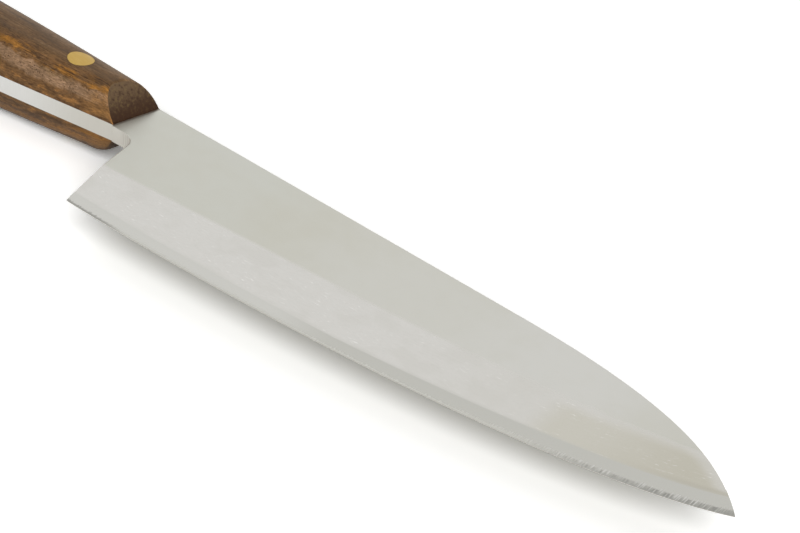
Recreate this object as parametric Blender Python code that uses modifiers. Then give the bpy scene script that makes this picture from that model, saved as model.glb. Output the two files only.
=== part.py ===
"""Deba knife with a full tang, two wooden handle scales and three two-piece brass rivets.

The knife lies on its left side: +X runs from the butt to the tip, +Y from the cutting edge
to the spine, +Z out of the right-hand face. All lengths are in metres. While the pieces are
made, X = 0 and Y = 0 are the spine corner where the scales end and the blade begins, and
Z = 0 is the middle of the blade's thickness. An empty then carries the whole knife to its
own origin, the bottom centre of its bounding box.
"""

import math

import bmesh
import bpy
import numpy as np
from mathutils import Euler, Vector

# Blade
BLADE_LENGTH = 0.180            # heel corner to tip, along the spine
HEEL_DEPTH = 0.046              # spine to heel corner
HEEL_AHEAD = 0.0132             # heel corner in front of the scales
HEEL_LEAN = math.radians(12.8)  # heel line against a square line across the blade
STOCK = 0.0048                  # thickness of the spine and of the tang
TIP_DROP = 0.0213               # tip below the line of the spine
SPINE_CURVE = 0.0726            # length of the spine that curves down to the tip
SPINE_EASE = 0.038              # pull of the straight spine on that curve
SPINE_NOSE = (0.0132, 0.0154)   # pull of the tip on it, back and up
EDGE_FLAT = (0.027, 0.0004)     # pull of the heel on the curve of the edge, on and down
EDGE_NOSE = (0.0401, 0.0221)    # pull of the tip on it, back and down
CHOIL_RADIUS = 0.0042           # hollow corner between the tang and the heel line
NECK_STEP = 0.00035             # unsanded steel below the handle's belly, ahead of the scales

# Grind, given as half thicknesses and as heights above the edge
TAPER_START = 0.020             # the flat keeps its thickness up to here
TAPER_SLOPE = 0.0061            # from here it thins by this much per length towards the tip
POINT_START = 0.105             # and from here it thins further
POINT_THINNING = 0.00080
FLAT_SLOPE = 0.0105             # the flat thins by this much per length towards the edge
SHINOGI_HEIGHT = 0.0186         # ridge between the flat and the bevel
SHINOGI_DIP = 0.0024            # the ridge comes down by this much at the heel
SHINOGI_DIP_RUN = 0.0070
BEVEL_BULGE = 0.03              # the bevel is ground slightly convex, like a clam shell
STRIP_HEEL = 0.0023             # width of the polished strip along the edge, at the heel
STRIP_TIP = 0.0068              # the same at the tip
STRIP_SHARE = 0.36              # half thickness at the strip, as a share of that at the ridge
HONED_HEEL = 0.00045            # width of the honed edge, at the heel
HONED_TIP = 0.0016              # the same at the tip
HONED_FROM = 0.60               # the honed edge widens over the last part of the blade
HONED_STEEPER = 1.9             # slope of the honed edge over that of the strip
EDGE_HALF = 0.00005             # half thickness left at the very edge

# Handle, with its curves given behind the front and below the line of the spine
HANDLE_LENGTH = 0.118           # front of the scales to the butt
FRONT_HEIGHT = 0.0149           # spine to belly at the front
BELLY_PULLS = ((0.024, 0.0183), (0.046, 0.0232))
BELLY_SWELL = (0.066, 0.0232)   # lowest place of the belly
WAIST_PULLS = ((0.084, 0.0232), (0.100, 0.0212))
BUTT_BELLY = 0.0256             # belly at the butt
BACK_PULLS = ((0.035, -0.0017), (0.078, -0.0017))
BUTT_BACK = 0.0025              # spine side at the butt
SCALE_FRONT = 0.0079            # thickness of a scale at its front
SCALE_PULLS = ((0.025, 0.0089), (0.050, 0.0108))
SCALE_SWELL = (0.075, 0.0112)   # place and thickness where a scale is thickest
SCALE_REAR_PULLS = ((0.090, 0.0112), (0.105, 0.0104))
SCALE_BUTT = 0.0098             # thickness of a scale at the butt
CROWN = -0.28                   # crown of the section, from its middle towards the belly
BELLY_ROUND = (2.0, 1.27)       # powers of the section from the crown to the belly
BACK_ROUND = (2.75, 1.84)       # the same from the crown to the spine side
BUTT_ROUND = 0.013              # length over which the butt rounds off
BUTT_POWER = 3.0
BUTT_THIN = 0.45                # how much of that rounding the thickness takes
FACET_LEAN = math.radians(37.5)  # slanting face at the front, against upright
FRONT_SLANT = math.radians(7.4)  # front line against a square line across the tang
NOSE_RIGHT = (0.0006, 0.05, 0.03)  # rounding of that face's rim: length, drop, narrowing
NOSE_LEFT = (0.0032, 0.24, 0.07)  # the left scale's rim is sanded rounder
LEAN_FADE = 0.045               # behind the front, the lean of the sections dies out
GLUE_GAP = 0.0003               # bed of glue between a scale and the tang

# Rivets
RIVET_FIRST = 0.0208            # first rivet behind the front of the scales
RIVET_PITCH = 0.0365
PIN_RADIUS = 0.0013
TUBE_WALL = 0.0009
HEAD_RIM = 0.0011               # a head reaches past its tube by this much
SEAT_HEIGHT = 0.0042            # wood left under a head, above the tang
FIT_GAP = 0.0003                # clearance all round a rivet, and between its two halves
END_GAP = 0.0006                # clearance at the end of the pin and of the tube

# Fineness of the faceted solids
SPINE_STEPS = 22
EDGE_STEPS = 40
CORNER_STEPS = 6
DOME_STEPS = 22
NOSE_STEPS = 5
HANDLE_STEPS = 14
BUTT_STEPS = 6
TURNED_STEPS = 32
BEVEL_STEPS = 3
CURVE_STEPS = 60                # fineness of the curves that are only read off
LEAN_ROUNDS = 14                # rounds in which a leaning section settles
GRIND_STEPS = 10
POINT_STEPS = 18

HALF = STOCK / 2
BORE_RADIUS = PIN_RADIUS + FIT_GAP
TUBE_RADIUS = BORE_RADIUS + TUBE_WALL
HEAD_RADIUS = TUBE_RADIUS + HEAD_RIM
HEEL_X = HEEL_AHEAD
TIP_X = HEEL_AHEAD + BLADE_LENGTH
SPARE = 0.003                   # how far a cutter or a guide runs past what it cuts


def clear_scene():
    """Remove every object that the file holds."""
    for obj in list(bpy.data.objects):
        bpy.data.objects.remove(obj, do_unlink=True)


def make_collection(name):
    """Make a collection under the scene's own."""
    collection = bpy.data.collections.new(name)
    bpy.context.scene.collection.children.link(collection)
    return collection


def make_material(name, colour, metallic, roughness):
    """Make one Principled material."""
    material = bpy.data.materials.new(name)
    material.use_nodes = True
    shader = material.node_tree.nodes["Principled BSDF"]
    shader.inputs["Base Color"].default_value = (*colour, 1)
    shader.inputs["Metallic"].default_value = metallic
    shader.inputs["Roughness"].default_value = roughness
    material.diffuse_color = (*colour, 1)
    return material


def bezier(start, pull_start, pull_end, end, steps):
    """Points along a cubic curve, both ends included."""
    t = np.linspace(0, 1, steps + 1)[:, None]
    corners = [np.array(p, float) for p in (start, pull_start, pull_end, end)]
    weights = ((1 - t) ** 3, 3 * (1 - t) ** 2 * t, 3 * (1 - t) * t ** 2, t ** 3)
    return sum(w * c for w, c in zip(weights, corners))


def round_corner(before, corner, after, radius, steps):
    """Points of the arc that rounds a corner between two straight lines."""
    corner = Vector(corner)
    to_before = (Vector(before) - corner).normalized()
    to_after = (Vector(after) - corner).normalized()
    half_angle = to_before.angle(to_after) / 2
    reach = radius / math.tan(half_angle)
    centre = corner + (to_before + to_after).normalized() * radius / math.sin(half_angle)
    first = corner + to_before * reach - centre
    last = corner + to_after * reach - centre
    turn = first.angle(last)
    points = []
    for step in range(steps + 1):
        share = step / steps
        blend = first * math.sin(turn * (1 - share)) + last * math.sin(turn * share)
        points.append(tuple(centre + blend / math.sin(turn)))
    return points


# Outline of the blade

def spine_curve():
    """The spine from where it leaves its straight line to the tip."""
    start = TIP_X - SPINE_CURVE
    pull_end = (TIP_X - SPINE_NOSE[0], -TIP_DROP + SPINE_NOSE[1])
    return bezier((start, 0), (start + SPINE_EASE, 0), pull_end, (TIP_X, -TIP_DROP), SPINE_STEPS)


def edge_curve():
    """The cutting edge from the heel corner to the tip."""
    pull_start = (HEEL_X + EDGE_FLAT[0], -HEEL_DEPTH - EDGE_FLAT[1])
    pull_end = (TIP_X - EDGE_NOSE[0], -TIP_DROP - EDGE_NOSE[1])
    return bezier((HEEL_X, -HEEL_DEPTH), pull_start, pull_end, (TIP_X, -TIP_DROP), EDGE_STEPS)


EDGE_POINTS = edge_curve()


def edge_at(x):
    """Height of the cutting edge at x, run on in its own direction past both ends."""
    ends = {HEEL_X: EDGE_POINTS[:2], TIP_X: EDGE_POINTS[-2:]}
    for limit, pair in ends.items():
        outside = x < limit if limit == HEEL_X else x > limit
        if outside:
            run, rise = pair[1] - pair[0]
            return pair[0][1] + (x - pair[0][0]) * rise / run
    return float(np.interp(x, EDGE_POINTS[:, 0], EDGE_POINTS[:, 1]))


# Form of the handle, which the scales, the tang and the rivet heads share

def handle_curve(start, pulls, swell, rear_pulls, end):
    """Curve along the handle in two parts that meet at a swell, from the butt to the front."""
    front = bezier((0, start), *pulls, swell, CURVE_STEPS)
    rear = bezier(swell, *rear_pulls, (HANDLE_LENGTH, end), CURVE_STEPS)
    return np.vstack((front, rear[1:])) * (-1, 1)


BELLY_CURVE = handle_curve(FRONT_HEIGHT, BELLY_PULLS, BELLY_SWELL, WAIST_PULLS, BUTT_BELLY)[::-1]
SCALE_CURVE = handle_curve(SCALE_FRONT, SCALE_PULLS, SCALE_SWELL, SCALE_REAR_PULLS, SCALE_BUTT)[::-1]
BACK_CURVE = (bezier((0, 0), *BACK_PULLS, (HANDLE_LENGTH, BUTT_BACK), CURVE_STEPS) * (-1, 1))[::-1]


def handle_stations(start):
    """Places behind the front of the handle, from start to the butt, with their rounding."""
    round_start = HANDLE_LENGTH - BUTT_ROUND
    stations = [(place, 1.0) for place in np.linspace(start, round_start, HANDLE_STEPS + 1)]
    for step in range(1, BUTT_STEPS + 1):
        angle = math.radians(80) * step / BUTT_STEPS
        reach = math.sin(angle) ** (2 / BUTT_POWER)
        stations.append((round_start + BUTT_ROUND * reach, math.cos(angle) ** (2 / BUTT_POWER)))
    return stations


def read_curve(curve, x):
    """Value of one of the handle's curves at x."""
    return float(np.interp(x, curve[:, 0], curve[:, 1]))


def handle_size(x, rounding=1.0):
    """Middle, half height and scale thickness of the handle at x."""
    belly = read_curve(BELLY_CURVE, x)
    back = read_curve(BACK_CURVE, x)
    thickness = read_curve(SCALE_CURVE, x) * rounding ** BUTT_THIN
    return -(belly + back) / 2, (belly - back) / 2 * rounding, thickness


def dome_height(across):
    """Height of the rounded section as a share of its crown, for a place across it."""
    limit, powers = (1, BACK_ROUND) if across > CROWN else (-1, BELLY_ROUND)
    reach = (across - CROWN) / (limit - CROWN)
    return max(1 - reach ** powers[0], 0) ** (1 / powers[1])


def dome_ring(behind, rounding, lean, drop, narrowing, floor):
    """Section of a scale above the tang, from belly to spine side, leaning like the front."""
    ring = []
    for step in range(DOME_STEPS + 1):
        across = -math.cos(math.pi * step / DOME_STEPS)
        x = -behind
        for _ in range(LEAN_ROUNDS):
            middle, half_height, thickness = handle_size(x, rounding)
            y = middle + half_height * (1 - narrowing) * across
            up = max(thickness * (1 - drop) * dome_height(across), floor)
            x = lean * (y * math.tan(FRONT_SLANT) - up * math.tan(FACET_LEAN)) - behind
        ring.append((x, y, HALF + up))
    return ring


def dome_rings(nose, floor):
    """Sections of a scale from its slanting front with a rounded rim to its rounded butt."""
    length, drop, narrowing = nose
    rings = []
    for step in range(NOSE_STEPS, 0, -1):
        behind = length * (1 - math.sin(math.pi / 2 * step / NOSE_STEPS))
        share = 1 - math.cos(math.pi / 2 * step / NOSE_STEPS)
        rings.append(dome_ring(behind, 1, 1, drop * share, narrowing * share, floor))
    for behind, rounding in handle_stations(length):
        lean = max(1 - (behind - length) / LEAN_FADE, 0)
        rings.append(dome_ring(behind, rounding, lean, 0, 0, floor))
    return rings


def loft(name, rings, collection):
    """Closed body through rings of equal length, each a list of points, with flat ends."""
    mesh = bmesh.new()
    loops = [[mesh.verts.new(point) for point in ring] for ring in rings]
    for near, far in zip(loops, loops[1:]):
        for a, b, c, d in zip(near, near[1:] + near[:1], far[1:] + far[:1], far):
            mesh.faces.new((a, b, c, d))
    mesh.faces.new(loops[0][::-1])
    mesh.faces.new(loops[-1])
    bmesh.ops.recalc_face_normals(mesh, faces=mesh.faces)
    return finish_mesh(name, mesh, collection)


def finish_mesh(name, mesh, collection):
    """Turn a bmesh into an object of the collection."""
    data = bpy.data.meshes.new(name)
    mesh.to_mesh(data)
    mesh.free()
    obj = bpy.data.objects.new(name, data)
    collection.objects.link(obj)
    return obj


def turned(name, profile, collection):
    """Turn a profile of (radius, height), given down its outer side, about the Z axis."""
    mesh = bmesh.new()
    line = [mesh.verts.new((radius, 0, height)) for radius, height in profile]
    for near, far in zip(line, line[1:]):
        mesh.edges.new((near, far))
    obj = finish_mesh(name, mesh, collection)
    screw = obj.modifiers.new("turn", "SCREW")
    screw.axis = "Z"
    screw.steps = TURNED_STEPS
    screw.render_steps = TURNED_STEPS
    screw.use_smooth_shade = False
    screw.use_merge_vertices = True
    screw.merge_threshold = 0.00001
    return obj


def prism(name, outline, half_thickness, collection):
    """Flat outline as a 2D curve with a thickness, made a mesh with welded caps."""
    curve = bpy.data.curves.new(name, "CURVE")
    curve.dimensions = "2D"
    curve.fill_mode = "BOTH"
    curve.extrude = half_thickness
    spline = curve.splines.new("POLY")
    spline.points.add(len(outline) - 1)
    for point, (x, y) in zip(spline.points, outline):
        point.co = (x, y, 0, 1)
    spline.use_cyclic_u = True
    drawn = bpy.data.objects.new(name + "_outline", curve)
    collection.objects.link(drawn)
    depsgraph = bpy.context.evaluated_depsgraph_get()
    data = bpy.data.meshes.new_from_object(drawn.evaluated_get(depsgraph))
    place = drawn.matrix_world.copy()
    bpy.data.objects.remove(drawn, do_unlink=True)
    mesh = bmesh.new()
    mesh.from_mesh(data)
    bmesh.ops.remove_doubles(mesh, verts=mesh.verts, dist=0.000001)
    bmesh.ops.recalc_face_normals(mesh, faces=mesh.faces)
    obj = finish_mesh(name, mesh, collection)
    obj.matrix_world = place
    return obj


def cut(obj, tool, operation="DIFFERENCE"):
    """Add a Boolean with a tool that stays out of the part."""
    boolean = obj.modifiers.new(operation.lower(), "BOOLEAN")
    boolean.operation = operation
    boolean.object = tool
    boolean.solver = "EXACT"
    tool.hide_render = True
    tool.display_type = "WIRE"


# Blade and tang

def blade_outline():
    """Outline of the blade and its full tang, once round from the butt along the spine."""
    back = []
    belly = []
    for behind, rounding in handle_stations(SPARE):
        middle, half_height, _ = handle_size(-behind, rounding)
        back.append((-behind, middle + half_height))
        belly.append((-behind, middle - half_height))
    step_x = front_line_x(-FRONT_HEIGHT)
    middle, half_height, _ = handle_size(step_x)
    sanded = middle - half_height
    neck = sanded - NECK_STEP
    corner = (HEEL_X - (HEEL_DEPTH + neck) * math.tan(HEEL_LEAN), neck)
    choil = round_corner((step_x, neck), corner, (HEEL_X, -HEEL_DEPTH), CHOIL_RADIUS, CORNER_STEPS)
    edge = [tuple(point) for point in EDGE_POINTS[::-1]]
    spine = [tuple(point) for point in spine_curve()[:-1]]
    neck_line = [(step_x + NECK_STEP, neck), (step_x, sanded)]
    return back[::-1] + [(0, 0)] + spine + edge + choil[::-1] + neck_line + belly


def front_line_x(y):
    """Where the front of the scales crosses the tang, for a height y."""
    return y * math.tan(FRONT_SLANT)


def flat_half(x, y):
    """Half thickness of the blade's flat at a place, thinning to the tip and to the edge."""
    taper = TAPER_SLOPE * max(x - TAPER_START, 0)
    point = POINT_THINNING * (max(x - POINT_START, 0) / (TIP_X - POINT_START)) ** 2
    return HALF - taper - point + FLAT_SLOPE * y


def shinogi_height(x):
    """Height of the ridge above the edge at x."""
    share = min(max((x - HEEL_X) / SHINOGI_DIP_RUN + 0.5, 0), 1)
    return SHINOGI_HEIGHT - SHINOGI_DIP * (1 - share) ** 2


def grind_section(x):
    """Ground half section at x as (y, half thickness), from above the spine to below the edge."""
    edge = edge_at(x)
    share = min(max((x - HEEL_X) / BLADE_LENGTH, 0), 1)
    strip = STRIP_HEEL + (STRIP_TIP - STRIP_HEEL) * share
    widening = max(share - HONED_FROM, 0) / (1 - HONED_FROM)
    honed = HONED_HEEL + (HONED_TIP - HONED_HEEL) * widening
    ridge = edge + shinogi_height(x)
    ridge_half = flat_half(x, ridge)
    strip_half = ridge_half * STRIP_SHARE
    honed_half = EDGE_HALF + (strip_half - EDGE_HALF) * HONED_STEEPER * honed / strip
    past = HONED_HEEL / 4
    past_half = EDGE_HALF - (honed_half - EDGE_HALF) * past / honed
    section = [(HEEL_DEPTH, flat_half(x, HEEL_DEPTH)), (0, flat_half(x, 0)), (ridge, ridge_half)]
    for step in range(1, BEVEL_STEPS + 1):
        down = step / (BEVEL_STEPS + 1)
        half = ridge_half + (strip_half - ridge_half) * down
        bulge = BEVEL_BULGE * ridge_half * 4 * down * (1 - down)
        section.append((ridge + (edge + strip - ridge) * down, half + bulge))
    section.append((edge + strip, strip_half))
    section.append((edge + honed, honed_half))
    section.append((edge - past, max(past_half, EDGE_HALF / 4)))
    section.append((edge - SPARE, max(past_half, EDGE_HALF / 4)))
    return section


def tang_section(x):
    """Plain half section of the tang, with as many points as the ground one."""
    ys = [y for y, _ in grind_section(x)]
    return [(y, HALF) for y in ys]


def grind_stations():
    """Places along the blade for the ground sections, closer together at heel and point."""
    heel = [HEEL_X + SHINOGI_DIP_RUN * share for share in (-1, -0.5, -0.25, 0, 0.25, 0.5)]
    start = max(TAPER_START, heel[-1] + SHINOGI_DIP_RUN * 0.25)
    flat = np.linspace(start, POINT_START, GRIND_STEPS + 1)
    point = np.linspace(POINT_START, TIP_X + SPARE, POINT_STEPS + 1)[1:]
    return heel + list(flat) + list(point)


def grind_form(tools):
    """Body whose two faces are the ground faces of the blade and the faces of the tang."""
    sections = [(-HANDLE_LENGTH - SPARE, tang_section), (-SPARE, tang_section)]
    sections += [(x, grind_section) for x in grind_stations()]
    rings = []
    for x, section in sections:
        half = section(x)
        right = [(x, y, z) for y, z in half]
        left = [(x, y, -z) for y, z in half[::-1]]
        rings.append(right + left)
    return loft("grind_form", rings, tools)


def make_blade(parts, tools, drills):
    """Forge the blank, grind it and drill the tang."""
    blade = prism("blade", blade_outline(), HALF + SPARE, parts)
    cut(blade, grind_form(tools), "INTERSECT")
    for drill in drills:
        cut(blade, drill)
    return blade


# Handle scales

def make_scale(name, side, nose, parts, drills):
    """Shape one scale on its bed of glue and counterbore it for the rivets."""
    rings = []
    for ring in dome_rings(nose, GLUE_GAP):
        rings.append([(x, y, side * z) for x, y, z in ring])
    scale = loft(name, rings, parts)
    for drill in drills:
        cut(scale, drill)
    return scale


def handle_form(tools):
    """Both domes and the tang in one, to which the rivet heads are sanded flush."""
    rings = []
    for ring in dome_rings(NOSE_RIGHT, 0):
        rings.append(ring + [(x, y, -z) for x, y, z in ring[::-1]])
    return loft("handle_form", rings, tools)


# Rivets

def rivet_places():
    """Names and places of the rivets along the middle of the handle."""
    places = []
    for index, name in enumerate(("front", "middle", "rear")):
        x = -RIVET_FIRST - RIVET_PITCH * index
        places.append((name, (x, handle_size(x)[0], 0)))
    return places


def half_turn(side):
    """Turns a right-hand rivet half or drill to the left-hand side."""
    return Euler((0, 0, 0)) if side > 0 else Euler((math.pi, 0, 0))


def head_top():
    """Height above which a head is waste, to be sanded off."""
    return HALF + SCALE_SWELL[1] + SPARE


def make_drill(name, place, side, tools):
    """Stepped drill: the counterbore of a head and the hole for the tube, through the tang."""
    seat = HALF + SEAT_HEIGHT
    wide = HEAD_RADIUS + FIT_GAP
    narrow = TUBE_RADIUS + FIT_GAP
    profile = [(0, head_top()), (wide, head_top()), (wide, seat), (narrow, seat),
               (narrow, -HALF - SPARE / 2), (0, -HALF - SPARE / 2)]
    drill = turned(name, profile, tools)
    drill.location = place
    drill.rotation_euler = half_turn(side)
    return drill


def make_tube_half(name, place, side, parts, form):
    """Rivet half with a head and a hollow shank that takes the pin of the other half."""
    seat = HALF + SEAT_HEIGHT
    mouth = -seat - FIT_GAP + END_GAP
    profile = [(0, head_top()), (HEAD_RADIUS, head_top()), (HEAD_RADIUS, seat + FIT_GAP),
               (TUBE_RADIUS, seat + FIT_GAP), (TUBE_RADIUS, mouth), (BORE_RADIUS, mouth),
               (BORE_RADIUS, seat + FIT_GAP), (0, seat + FIT_GAP)]
    return place_rivet_half(turned(name, profile, parts), place, side, form)


def make_pin_half(name, place, side, parts, form):
    """Rivet half with a head and a pin that is driven into the tube of the other half."""
    seat = HALF + SEAT_HEIGHT
    pin_end = -seat - FIT_GAP + END_GAP
    profile = [(0, head_top()), (HEAD_RADIUS, head_top()), (HEAD_RADIUS, seat + FIT_GAP),
               (PIN_RADIUS, seat + FIT_GAP), (PIN_RADIUS, pin_end), (0, pin_end)]
    return place_rivet_half(turned(name, profile, parts), place, side, form)


def place_rivet_half(half, place, side, form):
    """Set a rivet half in the handle and sand its head flush with the scale."""
    half.location = place
    half.rotation_euler = half_turn(side)
    cut(half, form, "INTERSECT")
    return half


# Assembly

def finish_part(obj, material, knife, smooth_angle):
    """Give a piece its material and shading and hang it on the knife's empty."""
    obj.data.materials.clear()
    obj.data.materials.append(material)
    obj.data.shade_smooth()
    obj.data.set_sharp_from_angle(angle=math.radians(smooth_angle))
    obj.parent = knife


def world_bounds(objects):
    """Lowest and highest corner of the evaluated objects."""
    depsgraph = bpy.context.evaluated_depsgraph_get()
    corners = []
    for obj in objects:
        evaluated = obj.evaluated_get(depsgraph)
        mesh = evaluated.to_mesh()
        corners += [evaluated.matrix_world @ vertex.co for vertex in mesh.vertices]
        evaluated.to_mesh_clear()
    points = np.array(corners)
    return points.min(axis=0), points.max(axis=0)


def build_knife():
    """Make every piece of the knife and put its origin at the bottom centre of its box."""
    clear_scene()
    parts = make_collection("deba_knife")
    tools = make_collection("deba_knife_cutters")
    steel = make_material("satin_steel", (0.62, 0.62, 0.60), 1.0, 0.38)
    wood = make_material("dark_hardwood", (0.16, 0.08, 0.04), 0.0, 0.45)
    brass = make_material("brass", (0.75, 0.54, 0.22), 1.0, 0.32)
    knife = bpy.data.objects.new("knife", None)
    parts.objects.link(knife)

    form = handle_form(tools)
    drills = {1: [], -1: []}
    halves = []
    for name, place in rivet_places():
        drills[1].append(make_drill("drill_right_" + name, place, 1, tools))
        drills[-1].append(make_drill("drill_left_" + name, place, -1, tools))
        halves.append(make_tube_half("rivet_" + name + "_tube_half", place, 1, parts, form))
        halves.append(make_pin_half("rivet_" + name + "_pin_half", place, -1, parts, form))

    blade = make_blade(parts, tools, drills[1])
    scale_right = make_scale("scale_right", 1, NOSE_RIGHT, parts, drills[1])
    scale_left = make_scale("scale_left", -1, NOSE_LEFT, parts, drills[-1])

    pieces = [blade, scale_right, scale_left] + halves
    low, high = world_bounds(pieces)
    finish_part(blade, steel, knife, 8)
    for scale in (scale_right, scale_left):
        finish_part(scale, wood, knife, 35)
    for half in halves:
        finish_part(half, brass, knife, 35)
    for tool in tools.objects:
        tool.parent = knife
    knife.location = (-(low[0] + high[0]) / 2, -(low[1] + high[1]) / 2, -low[2])


build_knife()
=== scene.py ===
"""Deba knife with wooden handle scales and brass rivets, lying on a pale floor.

Every piece is modelled round the packed CAD frame. The curves are laid out as a maker marks
them on the blank: X = 0 and Y = 0 are the spine corner where the scales end and the blade
begins, and Z = 0 is the middle of the steel. All lengths are in metres.
"""

import math

import bmesh
import bpy
import numpy as np
from bpy.props import FloatProperty, FloatVectorProperty, IntProperty, PointerProperty
from bpy.types import Operator, Panel, PropertyGroup
from mathutils import Matrix, Vector


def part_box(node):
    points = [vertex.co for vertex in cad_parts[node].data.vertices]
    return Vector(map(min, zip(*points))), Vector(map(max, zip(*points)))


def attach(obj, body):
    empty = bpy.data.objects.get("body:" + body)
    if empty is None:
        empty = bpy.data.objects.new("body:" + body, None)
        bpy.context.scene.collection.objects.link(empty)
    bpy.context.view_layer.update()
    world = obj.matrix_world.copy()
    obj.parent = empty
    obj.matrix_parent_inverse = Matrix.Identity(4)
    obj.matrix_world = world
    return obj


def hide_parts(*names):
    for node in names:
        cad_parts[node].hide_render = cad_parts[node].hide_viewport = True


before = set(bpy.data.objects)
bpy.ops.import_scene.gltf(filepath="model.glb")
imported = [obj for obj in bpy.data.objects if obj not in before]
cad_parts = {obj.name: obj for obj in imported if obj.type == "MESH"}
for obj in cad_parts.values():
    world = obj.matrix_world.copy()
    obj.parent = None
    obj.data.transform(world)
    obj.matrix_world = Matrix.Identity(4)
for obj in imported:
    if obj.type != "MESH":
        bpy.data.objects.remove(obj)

bl_info = {
    "name": "Deba knife",
    "version": (1, 0, 0),
    "blender": (4, 5, 0),
    "location": "3D View > Sidebar > Knife",
    "description": "Models a deba knife, its handle scales and its rivets on their frame",
    "category": "Add Mesh",
}

BODY = "root"
RIVETS = ("front", "middle", "rear")

MM = 1000               # millimetres in a metre
BUMP_STRENGTH = 0.5     # strength of every relief
METAL_RELIEF = 0.000008         # depth of scratches and sanding lines
WOOD_RELIEF = 0.00004   # depth of pores
BEVEL_MM = 12           # millimetres of bevel to one zone of the grind, roughly
SMOOTH_STEEL = 32       # edges of the blade flatter than these degrees look smooth
SMOOTH_HANDLE = 35      # the same for scales and rivets
SQUARE_ON = 0.9         # a face looks along a line from this cosine on


def length(name, description, default):
    """Property for a length in metres."""
    return FloatProperty(name=name, description=description, default=default, unit="LENGTH",
                         subtype="DISTANCE", precision=5)


def angle(name, description, degrees):
    """Property for an angle."""
    return FloatProperty(name=name, description=description, default=math.radians(degrees),
                         unit="ROTATION", subtype="ANGLE")


def share(name, description, default):
    """Property for a plain number."""
    return FloatProperty(name=name, description=description, default=default, precision=4)


def pull(name, description, default):
    """Property for a place on the blank, or for the pull of a curve's end."""
    return FloatVectorProperty(name=name, description=description, default=default, size=2,
                               unit="LENGTH", subtype="XYZ_LENGTH", precision=5)


def powers(name, description, default):
    """Property for the two powers of a rounded section."""
    return FloatVectorProperty(name=name, description=description, default=default, size=2)


def tint(name, description, default):
    """Property for a colour, given as its shares of light."""
    return FloatVectorProperty(name=name, description=description, default=default, size=3,
                               subtype="COLOR", min=0, max=1)


def colour(name, description, *screen):
    """Property for a colour, given as red, green and blue on a screen."""
    return tint(name, description,
                [(c / 255 / 12.92) if c < 11 else ((c / 255 + 0.055) / 1.055) ** 2.4
                 for c in screen])


# Sizes and colours

class BladeSizes(PropertyGroup):
    """Outline and grind of the blade."""

    blade_length: length("Length", "Heel corner to tip, along the spine", 0.180)
    heel_depth: length("Heel depth", "Spine to heel corner", 0.046)
    heel_ahead: length("Heel ahead", "Heel corner in front of the scales", 0.0132)
    heel_lean: angle("Heel lean", "Heel line against a square line across the blade", 12.8)
    stock: length("Stock", "Thickness of the spine and of the tang", 0.0048)
    tip_drop: length("Tip drop", "Tip below the line of the spine", 0.0213)
    spine_curve: length("Spine curve", "Length of the spine that curves to the tip", 0.0726)
    spine_ease: length("Spine ease", "Pull of the straight spine on that curve", 0.038)
    spine_nose: pull("Spine nose", "Pull of the tip on it, back and up", (0.0132, 0.0154))
    edge_flat: pull("Edge flat", "Pull of the heel on the edge, on and down", (0.027, 0.0004))
    edge_nose: pull("Edge nose", "Pull of the tip on the edge, back and down", (0.0401, 0.0221))
    choil_radius: length("Choil radius", "Hollow corner between tang and heel line", 0.0042)
    neck_step: length("Neck step", "Unsanded steel below the belly, ahead of the scales", 0.00035)
    taper_start: length("Taper start", "The flat keeps its thickness up to here", 0.020)
    taper_slope: share("Taper slope", "Thinning per length towards the tip", 0.0061)
    point_start: length("Point start", "From here the blade thins further", 0.105)
    point_thinning: length("Point thinning", "What that takes off at the tip", 0.0008)
    flat_slope: share("Flat slope", "Thinning of the flat per length towards the edge", 0.0105)
    shinogi_height: length("Shinogi height", "Ridge between flat and bevel, above the edge", 0.0193)
    shinogi_dip: length("Shinogi dip", "The ridge comes down by this at the heel", 0.0036)
    shinogi_dip_run: length("Shinogi dip run", "Length over which it comes down", 0.085)
    ground_from: length("Ground from", "In front of the scales the grind is full from here", 0.0062)
    shinogi_ease: length("Shinogi ease", "Softness of the ridge to each side", 0.0007)
    bevel_bulge: share("Bevel bulge", "Rounding of the bevel, like a clam shell", 0.03)
    strip_heel: length("Strip at the heel", "Width of the polished strip at the heel", 0.0035)
    strip_tip: length("Strip at the tip", "Width of the polished strip at the tip", 0.0068)
    strip_from: share("Strip from", "Share of the blade where the strip widens", 0.45)
    strip_share: share("Strip share", "Half thickness at the strip over that at the ridge", 0.36)
    honed_heel: length("Honed edge at the heel", "Width of the honed edge at the heel", 0.00045)
    honed_tip: length("Honed edge at the tip", "Width of the honed edge at the tip", 0.0022)
    honed_from: share("Honed from", "Share of the blade where the honed edge widens", 0.60)
    honed_steeper: share("Honed steeper", "Slope of the honed edge over the strip's", 1.9)
    edge_half: length("Edge", "Half thickness left at the very edge", 0.00005)
    corner_ease: length("Corner ease", "Easing of the spine's and the heel's corners", 0.00022)


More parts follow.
